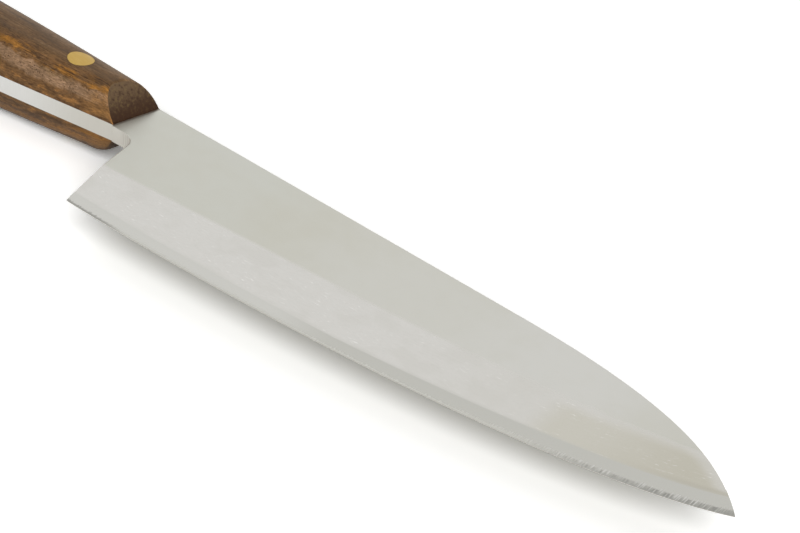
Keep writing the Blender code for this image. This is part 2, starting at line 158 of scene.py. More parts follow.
class HandleSizes(PropertyGroup):
    """Form of the two scales and of the tang between them."""

    handle_length: length("Length", "Front of the scales to the butt", 0.118)
    front_height: length("Front height", "Spine to belly at the front", 0.0149)
    belly_pull_front: pull("Belly pull, front", "First pull of the belly's curve", (0.024, 0.0183))
    belly_pull_swell: pull("Belly pull, swell", "Second pull of it", (0.046, 0.0232))
    belly_swell: pull("Belly swell", "Lowest place of the belly", (0.066, 0.0232))
    waist_pull_swell: pull("Waist pull, swell", "First pull behind the swell", (0.084, 0.0232))
    waist_pull_butt: pull("Waist pull, butt", "Second pull behind the swell", (0.100, 0.0212))
    butt_belly: length("Butt belly", "Belly at the butt, below the spine line", 0.0256)
    back_pull_front: pull("Back pull, front", "First pull of the back's curve", (0.035, -0.0017))
    back_pull_butt: pull("Back pull, butt", "Second pull of it", (0.078, -0.0017))
    butt_back: length("Butt back", "Back at the butt, below the spine line", 0.0025)
    scale_front: length("Scale at the front", "Thickness of a scale at its front", 0.0079)
    scale_pull_front: pull("Scale pull, front", "First pull of its curve", (0.025, 0.0089))
    scale_pull_swell: pull("Scale pull, swell", "Second pull of it", (0.050, 0.0108))
    scale_swell: pull("Scale swell", "Where a scale is thickest", (0.075, 0.0112))
    scale_pull_rear: pull("Scale pull, rear", "First pull behind that", (0.090, 0.0112))
    scale_pull_butt: pull("Scale pull, butt", "Second pull behind that", (0.105, 0.0104))
    scale_butt: length("Scale at the butt", "Thickness of a scale at the butt", 0.0098)
    crown: share("Crown", "Crown of the section, from its middle to the belly", -0.28)
    belly_round: powers("Belly round", "Powers of the section on the belly side", (2.0, 1.27))
    back_round: powers("Back round", "Powers of the section on the back side", (2.75, 1.84))
    butt_round: length("Butt round", "Length over which the butt rounds off", 0.01287)
    butt_power: share("Butt power", "Power of that rounding", 3.0)
    butt_thin: share("Butt thinning", "How much of it the thickness takes", 0.45)
    facet_lean: angle("Facet lean", "Slanting face at the front, against upright", 37.5)
    front_slant: angle("Front slant", "Front line against a square line across", 7.4)
    rim_right: length("Right rim", "Rounding of the right scale's front rim", 0.0006)
    rim_right_drop: share("Right rim drop", "How far that rim comes down", 0.05)
    rim_right_narrow: share("Right rim narrowing", "How far that rim comes in", 0.03)
    rim_left: length("Left rim", "Rounding of the left scale's front rim", 0.0032)
    rim_left_drop: share("Left rim drop", "How far that rim comes down", 0.24)
    rim_left_narrow: share("Left rim narrowing", "How far that rim comes in", 0.07)
    lean_fade: length("Lean fade", "The lean of the front dies out over this", 0.045)


class RivetSizes(PropertyGroup):
    """The three two-piece rivets."""

    first: length("First", "First rivet behind the front of the scales", 0.0208)
    pitch: length("Pitch", "Rivet to rivet", 0.0365)
    pin_radius: length("Pin radius", "Pin of the left half", 0.0013)
    bore_radius: length("Bore radius", "Bore of the right half's tube", 0.0016)
    tube_radius: length("Tube radius", "Outside of the tube", 0.0025)
    head_radius: length("Head radius", "Head of either half", 0.0036)
    seat_height: length("Seat height", "Wood left under a head, above the tang", 0.0042)
    head_gap: length("Head gap", "Hairline round a head", 0.00004)
    shank_gap: length("Shank gap", "Clearance round and between the shanks", 0.0003)
    end_gap: length("End gap", "Clearance at the end of pin and tube", 0.0006)
    proud: length("Proud", "How far a head stands above the wood", 0.00003)
    sides: IntProperty(name="Sides", description="Sides of a turned piece", default=96, min=12)


class SteelColours(PropertyGroup):
    """Satin steel of the blade."""

    # The flat's colours from heel to tip are a painted reflection: lighter in the fore part, darker
    # at the heel and at the tip.
    flat_heel: colour("Flat at the heel", "The flat over the heel", 212, 212, 203)
    flat_middle: colour("Flat, middle", "The flat in the middle", 215, 214, 206)
    flat_fore: colour("Flat, fore", "The flat before it curves to the tip", 218, 217, 211)
    flat_tip: colour("Flat at the tip", "The flat towards the tip", 212, 211, 203)
    flat_cloud: colour("Flat, clouds", "Faint warmer clouds of the flat", 208, 206, 193)
    bevel: colour("Bevel", "Finely scratched bevel", 224, 222, 217)
    # This tone gives the bevel's worn clouds, and also painted shade that dims the bevel towards
    # the tip.
    bevel_worn_and_shaded: colour("Bevel, worn", "Duller clouds of the bevel", 215, 213, 206)
    # These two warm bevel tones are a painted warm reflection on the bevel towards the tip.
    bevel_reflection_fore: colour("Bevel, fore", "Warm cloud of the bevel where it begins", 212, 209, 198)
    bevel_reflection_tip: colour("Bevel at the tip", "Warm cloud of the bevel near the tip", 202, 198, 184)
    scratch: colour("Scratch", "Bright scratches of the bevel", 244, 243, 239)
    strip_heel: colour("Strip at the heel", "Polished strip in its rear half", 215, 214, 208)
    strip: colour("Strip", "Polished strip along the edge", 203, 202, 195)
    strip_line: colour("Strip, line", "Its upper line near the tip", 195, 191, 178)
    honed: colour("Honed", "Honed edge where it is smooth", 208, 207, 199)
    honed_dark: colour("Honed, dark", "Honed edge near the tip and at the heel", 168, 167, 161)
    honed_line: colour("Honed, grooves", "Grooves of its hatching", 134, 133, 129)
    honed_light: colour("Honed, light", "Light lines of its hatching", 226, 225, 221)
    rim: colour("Rim", "Rim of the tang", 236, 236, 233)
    rim_front: colour("Rim at the front", "Rim near the front, spine and heel line", 216, 213, 204)
    rim_line: colour("Rim, lines", "Grinding lines in the hollow corner", 186, 182, 172)
    # The corner colour is painted shade on the flat where it meets the scales.
    corner: colour("Corner", "Dull line where the flat meets the scales", 120, 106, 90)


class WoodColours(PropertyGroup):
    """Figured hardwood of the scales."""

    seam: colour("Seam", "Along the tang", 112, 85, 60)
    rust: colour("Rust", "Orange-brown next to the tang", 104, 76, 49)
    rust_light: colour("Rust, light", "Lighter patches there", 142, 101, 59)
    rust_dark: colour("Rust, dark", "Darker patches there", 80, 56, 35)
    # The pale band and its rosy patches are partly the wood's figure and partly a painted sheen on
    # the shoulder.
    tan: colour("Tan", "Pale band on the shoulder", 135, 107, 82)
    tan_light: colour("Tan, light", "Rosy patches of that band", 162, 131, 107)
    bark: colour("Bark", "Dark boundary above the pale band", 103, 75, 48)
    amber: colour("Amber", "Glow of the shoulder near the front", 142, 103, 61)
    gold: colour("Gold", "Golden streaks along the boundary", 158, 108, 46)
    olive: colour("Olive", "Dark brown of the crown", 98, 73, 47)
    # On the back side this greyish tone is partly painted grazing sheen, and elsewhere it is a
    # streak of the figure.
    smoke: colour("Smoke", "Greyish brown of the back side", 121, 96, 70)
    shadow: colour("Shadow", "Dark streaks of the crown and the back side", 75, 56, 38)
    pore: colour("Pore", "Pores and fine dark lines", 54, 36, 23)
    end_dark: colour("End grain, low", "Slanting front face next to the tang", 54, 33, 19)
    end_top: colour("End grain, high", "Slanting front face at its top", 102, 82, 62)
    end_light: colour("End grain, light", "Light mottle of the slanting front face", 113, 94, 62)


class BrassColours(PropertyGroup):
    """Brass of the rivets."""

    face: colour("Face", "Sanded brass", 208, 173, 95)
    line: colour("Line", "Sanding lines", 216, 184, 108)


class StageSettings(PropertyGroup):
    """Floor, light and camera."""

    floor_size: length("Floor", "Side of the floor", 12.0)
    floor_mirrored: share("Floor, mirrored", "Level at which the steel mirrors the floor", 0.95)
    floor_seen: share("Floor as seen", "Level at which the camera sees the floor", 1.37)
    light: share("Light", "Strength of the soft light all round", 0.115)
    light_tint: tint("Light, tint", "Its slight warmth", (1.0, 0.99, 0.92))
    bounce: tint("Bounce", "Light that the floor throws back", (0.34, 0.325, 0.23))
    walls: share("Walls", "Brightness of the pale walls that the steel reflects", 0.86)
    key: share("Key", "Share of the light that the soft box gives", 0.58)
    key_tilt: angle("Key tilt", "The soft box hangs this far from straight above", 52)
    key_azimuth: angle("Key azimuth", "Direction in which it hangs", -50)
    key_width: angle("Key width", "Angle across the soft box", 42)
    back: share("Back", "Share of the light that the screen behind the knife gives", 0.20)
    back_tilt: angle("Back tilt", "The screen hangs this far from straight above", 26)
    back_azimuth: angle("Back azimuth", "Direction in which it hangs", 138)
    back_width: angle("Back width", "Angle across the screen", 84)
    elevation: angle("Elevation", "Camera above the floor", 34.493)
    azimuth: angle("Azimuth", "Direction in which the camera looks", 123.891)
    roll: angle("Roll", "Turn of the camera about its view", 9.005)
    target: pull("Target", "Place on the blank that the camera looks at", (0.085561, -0.004183))
    distance: length("Distance", "Camera to target", 0.53540)
    lens: FloatProperty(name="Lens", description="Focal length", default=99.04, unit="CAMERA")


# Forms

CURVE_STEPS = 200       # steps of a curve
EDGE_STEPS = 400        # steps of the cutting edge
BUTT_ROOM = 0.013       # the butt starts to round off this far from the end of the handle
BUTT_TURN = math.radians(88.5)  # how far that rounding turns
GRIND_FADE = 0.003      # the grind starts to fade in this far behind the front of the scales
LEAST_FLAT = 0.001      # height that the zone of the flat keeps at the tip


def bezier(start, pull_start, pull_end, end, steps=CURVE_STEPS):
    """Points along a cubic curve, both ends included."""
    t = np.linspace(0, 1, steps + 1)[:, None]
    corners = [np.array(p, float) for p in (start, pull_start, pull_end, end)]
    weights = ((1 - t) ** 3, 3 * (1 - t) ** 2 * t, 3 * (1 - t) * t ** 2, t ** 3)
    return sum(w * c for w, c in zip(weights, corners))


def swelling(start, pull_a, pull_b, swell, pull_c, pull_d, end):
    """Curve in two parts that meet at a swell."""
    return np.vstack((bezier(start, pull_a, pull_b, swell),
                      bezier(swell, pull_c, pull_d, end)[1:]))


def clamp(value):
    """Value held between 0 and 1."""
    return min(max(value, 0.0), 1.0)


def mix(a, b, part):
    """Value that lies part of the way from a to b."""
    return a + (b - a) * part


class HandleForm:
    """Curves of the handle, read from its sizes."""

    def __init__(self, size):
        self.size = size
        self.belly = swelling((0, size.front_height), size.belly_pull_front,
                              size.belly_pull_swell, size.belly_swell, size.waist_pull_swell,
                              size.waist_pull_butt, (size.handle_length, size.butt_belly))
        self.scale = swelling((0, size.scale_front), size.scale_pull_front,
                              size.scale_pull_swell, size.scale_swell, size.scale_pull_rear,
                              size.scale_pull_butt, (size.handle_length, size.scale_butt))
        self.back = bezier((0, 0), size.back_pull_front, size.back_pull_butt,
                           (size.handle_length, size.butt_back))

    def at(self, x, rounding=1.0):
        """Middle, half height and scale thickness of the handle at x."""
        belly = float(np.interp(-x, self.belly[:, 0], self.belly[:, 1]))
        back = float(np.interp(-x, self.back[:, 0], self.back[:, 1]))
        thick = float(np.interp(-x, self.scale[:, 0], self.scale[:, 1]))
        thick *= rounding ** self.size.butt_thin
        return -(belly + back) / 2, (belly - back) / 2 * rounding, thick

    def dome(self, across):
        """Height of the rounded section as a share of its crown."""
        back = across > self.size.crown
        limit, power = (1, self.size.back_round) if back else (-1, self.size.belly_round)
        reach = (across - self.size.crown) / (limit - self.size.crown)
        return max(1 - reach ** power[0], 0) ** (1 / power[1])

    def across(self, x, y):
        """Place across the section, -1 at the belly and 1 at the back."""
        middle, half_height, _ = self.at(x)
        return min(max((y - middle) / half_height, -1), 1)

    def top(self, x, y):
        """Height of the wood above the tang."""
        return self.at(x)[2] * self.dome(self.across(x, y))

    def stations(self, start, steps, butt_steps):
        """Places behind the front, with the rounding of the butt."""
        round_start = self.size.handle_length - BUTT_ROOM
        places = [(place, 1.0) for place in np.linspace(start, round_start, steps + 1)]
        for step in range(1, butt_steps + 1):
            turn = BUTT_TURN * step / butt_steps
            power = 2 / self.size.butt_power
            reach = math.sin(turn) ** power * self.size.butt_round
            places.append((round_start + reach, math.cos(turn) ** power))
        return places


class BladeForm:
    """Outline and grind of the blade, read from its sizes."""

    def __init__(self, size, handle):
        self.size = size
        self.handle = handle
        self.half = size.stock / 2
        self.heel_x = size.heel_ahead
        self.tip_x = size.heel_ahead + size.blade_length
        tip = (self.tip_x, -size.tip_drop)
        start = self.tip_x - size.spine_curve
        nose = (tip[0] - size.spine_nose[0], tip[1] + size.spine_nose[1])
        self.spine = bezier((start, 0), (start + size.spine_ease, 0), nose, tip)
        heel = (self.heel_x, -size.heel_depth)
        flat = (heel[0] + size.edge_flat[0], heel[1] - size.edge_flat[1])
        nose = (tip[0] - size.edge_nose[0], tip[1] - size.edge_nose[1])
        self.edge = bezier(heel, flat, nose, tip, EDGE_STEPS)

    def spine_at(self, x):
        """Height of the spine at x."""
        return float(np.interp(x, self.spine[:, 0], self.spine[:, 1]))

    def edge_at(self, x):
        """Height of the cutting edge at x, run on in its own direction past the heel."""
        if x < self.heel_x:
            run, rise = self.edge[1] - self.edge[0]
            return self.edge[0][1] + (x - self.heel_x) * rise / run
        return float(np.interp(x, self.edge[:, 0], self.edge[:, 1]))

    def along(self, x):
        """Share of the blade that lies behind x."""
        return clamp((x - self.heel_x) / self.size.blade_length)

    def ridge(self, x):
        """Height of the shinogi above the edge."""
        dip = 1 - clamp((x - self.size.ground_from) / self.size.shinogi_dip_run)
        return self.size.shinogi_height - self.size.shinogi_dip * dip ** 2

    def widening(self, x, start):
        """Share of the way to the tip from a share of the blade on."""
        return max(self.along(x) - start, 0) / (1 - start)

    def strip(self, x):
        """Width of the polished strip."""
        return mix(self.size.strip_heel, self.size.strip_tip,
                   self.widening(x, self.size.strip_from))

    def honed(self, x):
        """Width of the honed edge."""
        return mix(self.size.honed_heel, self.size.honed_tip,
                   self.widening(x, self.size.honed_from))

    def flat_half(self, x, y):
        """Half thickness of the flat."""
        size = self.size
        reach = max(x - size.point_start, 0) / (self.tip_x - size.point_start)
        taper = size.taper_slope * max(x - size.taper_start, 0)
        return self.half - taper - size.point_thinning * reach ** 2 + size.flat_slope * y

    def ground_half(self, x, y):
        """Half thickness of the ground blade."""
        size = self.size
        edge = self.edge_at(x)
        height = y - edge
        ridge, strip, honed = self.ridge(x), self.strip(x), self.honed(x)
        if height >= ridge:
            return self.flat_half(x, y)
        ridge_half = self.flat_half(x, edge + ridge)
        strip_half = ridge_half * size.strip_share
        if height >= strip:
            down = (ridge - height) / (ridge - strip)
            bulge = size.bevel_bulge * ridge_half * 4 * down * (1 - down)
            return mix(ridge_half, strip_half, down) + bulge
        steep = size.honed_steeper * honed / strip
        honed_half = mix(size.edge_half, strip_half, steep)
        if height >= honed:
            return mix(honed_half, strip_half, (height - honed) / (strip - honed))
        return mix(size.edge_half, honed_half, max(height, 0) / honed)

    def half_at(self, x, y):
        """Half thickness of the steel, from the plain tang to the ground blade."""
        part = clamp((x + GRIND_FADE) / (self.size.ground_from + GRIND_FADE))
        return mix(self.half, self.ground_half(x, y), part)

    def zone(self, x, y):
        """Zone of the grind: edge 0, honed edge up to 1, strip to 2, bevel to 3, flat to 4."""
        height = y - self.edge_at(x)
        lines = [0, self.honed(x), self.strip(x), self.ridge(x)]
        lines.append(max(self.spine_at(x) - self.edge_at(x), lines[-1] + LEAST_FLAT))
        return float(np.interp(height, lines, range(5)))

    def heel_line(self, y):
        """Place of the heel line at a height."""
        return self.heel_x - (y + self.size.heel_depth) * math.tan(self.size.heel_lean)

    def front_line(self, y):
        """Where the front of the scales crosses the tang."""
        return y * math.tan(self.handle.size.front_slant)


# Work at the bench

def place_of_blank():
    """Where the blank's own zero lies in the frame, read from the CAD blade."""
    low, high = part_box("blade")
    form = BladeForm(bpy.context.scene.knife_blade, HandleForm(bpy.context.scene.knife_handle))
    return Vector((high.x - form.tip_x, low.y - float(form.edge[:, 1].min()),
                   (low.z + high.z) / 2))


def clear_bench():
    """Leave edit mode with nothing selected."""
    if bpy.context.mode != "OBJECT":
        bpy.ops.object.mode_set(mode="OBJECT")
    bpy.ops.object.select_all(action="DESELECT")


def take_up(piece):
    """Select one piece alone and make it the active one."""
    clear_bench()
    piece.select_set(True)
    bpy.context.view_layer.objects.active = piece


def name_piece(name):
    """Name the primitive just added and open it for editing."""
    piece = bpy.context.object
    piece.name = name
    piece.data.name = name
    bpy.ops.object.mode_set(mode="EDIT")
    bpy.ops.mesh.select_mode(type="VERT")
    return piece


def opened(piece):
    """The mesh of a piece that is being edited."""
    return bmesh.from_edit_mesh(piece.data)


def pick(piece, kind, test):
    """Select the edges or faces that pass a test, and nothing else."""
    bpy.ops.mesh.select_all(action="DESELECT")
    bpy.ops.mesh.select_mode(type=kind)
    mesh = opened(piece)
    found = [part for part in (mesh.edges if kind == "EDGE" else mesh.faces) if test(part)]
    if not found:
        raise RuntimeError(piece.name + ": nothing to select")
    for part in found:
        part.select_set(True)
    mesh.select_flush_mode()
    bmesh.update_edit_mesh(piece.data)


def pull_out(height):
    """Extrude what is selected straight up, or down where the height is negative."""
    bpy.ops.mesh.extrude_region_move(TRANSFORM_OT_translate={"value": (0, 0, height)})


def turn_outwards():
    """Make all faces point outwards."""
    bpy.ops.mesh.select_all(action="SELECT")
    bpy.ops.mesh.normals_make_consistent(inside=False)


def draw_out(name, sections):
    """Draw a bar out section by section from a ring, and close its ends."""
    clear_bench()
    bpy.ops.mesh.primitive_circle_add(vertices=len(sections[0]), radius=0.01)
    piece = name_piece(name)
    ring = list(opened(piece).verts)
    for index, section in enumerate(sections):
        if index:
            pull_out(0)
            mesh = opened(piece)
            moved = {tuple(vertex.co): vertex for vertex in mesh.verts if vertex.select}
            ring = [moved[place] for place in places]
        else:
            bpy.ops.mesh.select_all(action="SELECT")
        for vertex, point in zip(ring, section):
            vertex.co = point
        places = [tuple(vertex.co) for vertex in ring]
        if len(set(places)) < len(places):
            raise RuntimeError(name + ": two points of a section meet")
    bmesh.update_edit_mesh(piece.data)
    bpy.ops.mesh.select_all(action="SELECT")
    bpy.ops.mesh.fill_holes(sides=0)
    turn_outwards()
    return piece


def drill_out(piece, drill):
    """Cut a drill out of a piece and put the drill away."""
    cut = piece.modifiers.new("drill", "BOOLEAN")
    cut.operation = "DIFFERENCE"
    cut.solver = "EXACT"
    cut.object = drill
    take_up(piece)
    bpy.ops.object.modifier_apply(modifier=cut.name)
    take_up(drill)
    bpy.ops.object.delete()


def set_in_place(piece, smooth_degrees):
    """Carry a finished piece from the blank's zero to the frame and shade it."""
    take_up(piece)
    piece.location = place_of_blank()
    bpy.ops.object.transform_apply(location=True, rotation=True, scale=True)
    bpy.ops.object.shade_smooth_by_angle(angle=math.radians(smooth_degrees))


def mark_corners(piece, name, value_of):
    """Write a number on each face corner."""
    layer = piece.data.attributes.new(name, "FLOAT", "CORNER")
    values = np.zeros(len(piece.data.loops), np.float32)
    for face in piece.data.polygons:
        for corner in face.loop_indices:
            values[corner] = value_of(face, piece.data.vertices[
                piece.data.loops[corner].vertex_index].co)
    layer.data.foreach_set("value", values)


def map_piece(piece, name, place_of):
    """Write a UV map whose value at each vertex comes from its place."""
    for layer in list(piece.data.uv_layers):
        piece.data.uv_layers.remove(layer)
    layer = piece.data.uv_layers.new(name=name)
    places = [place_of(vertex.co) for vertex in piece.data.vertices]
    values = np.array([places[loop.vertex_index] for loop in piece.data.loops], np.float32)
    layer.uv.foreach_set("vector", values.ravel())


def dress(piece, material, slot_name, *nodes):
    """Give a piece its finish and hang it on the frame in place of its CAD nodes."""
    piece.data.materials.clear()
    piece.data.materials.append(material)
    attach(piece, BODY)
    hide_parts(*nodes)


# Finishes

class Pattern:
    """Number, colour or shader that a node gives at each place of a surface."""

    def __init__(self, nodes, socket):
        self.nodes = nodes
        self.socket = socket

    def __add__(self, other):
        return self.nodes.take("ShaderNodeMath", 0, {0: self, 1: other}, operation="ADD")

    def __mul__(self, other):
        return self.nodes.take("ShaderNodeMath", 0, {0: self, 1: other}, operation="MULTIPLY")

    def __sub__(self, number):
        return self + -number

    def __truediv__(self, number):
        return self * (1 / number)

    def span(self, start, end, low=0.0, high=1.0):
        """Carry it smoothly from one range to another and hold it there."""
        return self.nodes.take("ShaderNodeMapRange", 0,
                               {0: self, 1: start, 2: end, 3: low, 4: high},
                               interpolation_type="SMOOTHSTEP")

    def band(self, start, full, fade, end):
        """Band that rises from start to full and falls from fade to end."""
        return self.span(start, full) * self.span(end, fade)


class Nodes:
    """Node tree that is put together node by node."""

    def __init__(self, tree):
        self.tree = tree

    def feed(self, socket, source):
        """Link a socket to a pattern, or set its value."""
        if isinstance(source, Pattern):
            self.tree.links.new(source.socket, socket)
        elif socket.type == "RGBA" and len(source) == 3:
            socket.default_value = (*source, 1)
        else:
            socket.default_value = source

    def node(self, kind, inputs=(), **settings):
        """Add a node with its settings and its inputs, by number or name."""
        made = self.tree.nodes.new(kind)
        for name, value in settings.items():
            setattr(made, name, value)
        for name, source in dict(inputs).items():
            self.feed(made.inputs[name], source)
        return made

    def take(self, kind, output, inputs=(), **settings):
        """Add a node and take one of its outputs."""
        return Pattern(self, self.node(kind, inputs, **settings).outputs[output])

    def ray(self, kind):
        """What is known of the light ray that meets the surface."""
        return self.take("ShaderNodeLightPath", kind)

    def blend(self, factor, a, b, blend_type="MIX"):
        """Colour between two."""
        return self.take("ShaderNodeMix", 2, {0: factor, 6: a, 7: b}, data_type="RGBA",
                         blend_type=blend_type)

    def coats(self, skin, *coats):
        """Colour with coats laid over it in turn, each as far as its factor says."""
        for factor, tone in coats:
            skin = self.blend(factor, skin, tone)
        return skin


class Finish(Nodes):
    """Procedural material of a piece."""

    def __init__(self, name):
        self.material = bpy.data.materials.new(name)
        self.material.use_nodes = True
        super().__init__(self.material.node_tree)
        self.shader = self.tree.nodes["Principled BSDF"]

    def shade(self, **sockets):
        """Feed the shader's own sockets, named with _ for a space."""
        for name, source in sockets.items():
            self.feed(self.shader.inputs[name.replace("_", " ")], source)

    def numbers(self, vector):
        """The three numbers of a vector."""
        split = self.node("ShaderNodeSeparateXYZ", {0: vector})
        return [Pattern(self, socket) for socket in split.outputs]

    def uv(self, name):
        """Both coordinates of a UV map."""
        return self.numbers(self.take("ShaderNodeUVMap", 0, uv_map=name))[:2]

    def place(self):
        """The three coordinates of a place on the piece."""
        return self.numbers(self.take("ShaderNodeTexCoord", "Object"))

    def mark(self, name):
        """Number written on the face corners."""
        return self.take("ShaderNodeAttribute", "Fac", attribute_name=name)

    def point(self, where):
        """Vector from two or three numbers."""
        return self.take("ShaderNodeCombineXYZ", 0, dict(enumerate(where)))

    def noise(self, where, scale=1.0, detail=2.0, roughness=0.5, distortion=0.0):
        """Cloud between 0 and 1 with its middle at one half."""
        return self.take("ShaderNodeTexNoise", "Fac",
                         {"Vector": self.point(where), "Scale": scale, "Detail": detail,
                          "Roughness": roughness, "Distortion": distortion})

    def cells(self, where):
        """Distance to the nearest of many scattered points."""
        return self.take("ShaderNodeTexVoronoi", "Distance",
                         {"Vector": self.point(where), "Scale": 1.0})

    def between(self, part, a, b):
        """Number between two."""
        return self.take("ShaderNodeMix", 0, {0: part, 2: a, 3: b})

    def ramp(self, value, stops):
        """Colour that follows a value through its stops."""
        made = self.node("ShaderNodeValToRGB", {0: value})
        made.color_ramp.interpolation = "EASE"
        elements = made.color_ramp.elements
        while len(elements) < len(stops):
            elements.new(1.0)
        for element, (place, tone) in zip(elements, stops):
            element.position = place
            element.color = (*tone, 1)
        return Pattern(self, made.outputs[0])

    def bump(self, height, distance):
        """Relief on the shader's normal."""
        self.shade(Normal=self.take("ShaderNodeBump", 0, {
            "Strength": BUMP_STRENGTH, "Distance": distance, "Height": height}))


def satin_steel():
    """Satin steel with a scratched bevel, a polished strip and a honed edge.

    Places along the blade are in metres from the front of the scales. The zones across it are
    1 at the top of the honed edge, 2 at the top of the strip and 3 at the ridge.
    """
    tones = bpy.context.scene.knife_steel
    steel = Finish("satin_steel")
    along, zone = steel.uv("grind")
    x, y, z = steel.place()
    long_mm = along * MM
    high_mm = zone * BEVEL_MM
    below_mm = steel.mark("below_spine") * MM

    cloud = steel.noise((x, y, z), scale=32, detail=3)
    mottle = steel.noise((x, y, z), scale=210, detail=3)
    # The ramp paints the reflection's brightness along the flat, lighter in its fore part than at
    # the heel and the tip.
    flat = steel.ramp(along * 5, [
        (0.20, tones.flat_heel), (0.38, tones.flat_middle), (0.52, tones.flat_middle),
        (0.66, tones.flat_fore), (0.73, tones.flat_fore), (0.88, tones.flat_tip)])
    warm = cloud.span(0.60, 0.42) + mottle.span(0.3, 0.7, -0.3, 0.3)
    patch = along.band(0.038, 0.054, 0.062, 0.082)
    flat = steel.blend(warm * 0.22 + patch * 0.3, flat, tones.flat_cloud)

    lines = steel.noise((long_mm * 0.25, high_mm * 2.8), detail=3)
    specks = steel.noise((long_mm * 0.9, high_mm * 2.2, 4.0))
    patches = steel.noise((long_mm * 0.10, high_mm * 0.16, 9.0), detail=3)
    bright = (lines.span(0.54, 0.70) * specks.span(0.44, 0.66)
              * patches.span(0.40, 0.62, 0.18, 0.85) * along.span(0.140, 0.165, 1.0, 0.7))
    # Painted reflection: a warm tint laid on the upper bevel towards the tip.
    upper = steel.between(along.span(0.150, 0.168), zone.span(2.98, 2.66),
                          zone.span(3.10, 2.70))
    reflection_tone = steel.blend(along.span(0.148, 0.180), tones.bevel_reflection_fore, tones.bevel_reflection_tip)
    painted_reflection = (upper * below_mm.span(0.6, 5.0, 0.25, 1.0) * cloud.span(0.3, 0.6, 0.85, 1.0)
             * along.span(0.141, 0.149))
    bevel = steel.coats(tones.bevel, (patches.span(0.55, 0.36, 0, 0.38), tones.bevel_worn_and_shaded),
                        (lines.span(0.3, 0.7, 0, 0.16), tones.strip),
                        # Painted shade: the bevel is dimmed towards the tip.
                        (along.span(0.110, 0.135, 0, 0.4), tones.bevel_worn_and_shaded),
                        (painted_reflection, reflection_tone), (bright, tones.scratch))
    is_bevel = steel.between(along.span(0.08, 0.15), zone.span(2.96, 3.04, 1, 0),
                             zone.span(2.90, 3.12, 1, 0))

    strip = steel.blend(along.span(0.076, 0.096), tones.strip_heel, tones.strip)
    line = zone.band(1.90, 2.02, 2.05, 2.18) * along.span(0.163, 0.184, 0, 0.9)

    hatch = steel.noise((long_mm * 2.7, zone * 0.30), detail=3, roughness=0.6)
    teeth = hatch.span(0.50, 0.64) * (along.span(0.078, 0.090, 0, 0.32)
                                      + along.span(0.140, 0.168, 0, 0.36))
    grooves = hatch.span(0.49, 0.36) * along.span(0.140, 0.172, 0, 0.6)
    dull = along.span(0.136, 0.180) * zone.span(1.0, 0.1, 0.55, 1.0)
    honed = steel.coats(tones.honed, (dull, tones.honed_dark), (grooves, tones.honed_line),
                        (teeth, tones.honed_light), (along.span(0.034, 0.024), tones.honed_dark))
    ragged = zone + hatch.span(0.35, 0.65, 0.10, -0.14)
    is_honed = ragged.span(0.9, 1.04, 1, 0)

    rim = steel.mark("rim")
    rubbed = steel.noise((x * 2600, y * 2600, z * 160))
    choil = along.span(0.0, 0.004, 0.05, 0.7) * along.span(0.012, 0.030, 1.0, 0.35)
    tang = steel.coats(tones.rim, (along.span(-0.036, -0.006), tones.rim_front),
                       (rubbed.span(0.35, 0.65) * choil, tones.rim_line))
    # Painted shade: the flat darkens along the front of the scales.
    ahead_mm = long_mm + below_mm * math.tan(bpy.context.scene.knife_handle.front_slant)
    corner = ahead_mm.span(1.1, 0.1, 0, 0.75) * rim.span(0, 1, 1, 0)

    skin = steel.coats(flat, (is_bevel, bevel), (line, tones.strip_line),
                       (zone.span(1.90, 2.08, 1, 0), strip), (is_honed, honed),
                       (corner, tones.corner), (rim, tang))
    roughness = mottle.span(0.3, 0.7, 0.30, 0.34) + is_bevel * -0.08 + is_honed * 0.15
    steel.shade(Base_Color=skin, Metallic=1.0, Roughness=roughness)
    grain = steel.noise((x * 260, y * 3200, z * 3200))
    steel.bump(grain * 0.3 + bright * 0.5 + teeth * is_honed * 1.2, METAL_RELIEF)
    return steel.material


# Streaks of the wood on the right and on the left scale: place in mm along the handle and as
# a share of the way round it, reach in mm, width as a share, strength, colour.
STREAKS = {
    1: ((-39.5, 0.31, 5, 0.020, 0.75, "gold"), (-20.5, 0.315, 4, 0.028, 0.6, "gold"),
        (-9.5, 0.276, 3.5, 0.020, 0.65, "gold"), (-5, 0.31, 4, 0.03, 0.6, "gold"),
        (-23, 0.256, 6, 0.025, 0.85, "smoke"), (-39, 0.53, 10, 0.13, 0.35, "shadow"),
        (-12, 0.335, 5, 0.032, 0.6, "shadow"), (-30, 0.320, 4, 0.022, 0.6, "shadow"),
        (-13, 0.56, 5, 0.06, 0.5, "smoke"), (-23, 0.58, 6, 0.06, 0.55, "shadow")),
    -1: ((-36, 0.07, 6, 0.018, 0.9, "shadow"), (-24, 0.12, 5, 0.012, 0.7, "shadow"),
         (-5, 0.08, 8, 0.10, 0.8, "rust_light"), (-9, 0.10, 6, 0.03, 0.6, "gold")),
}


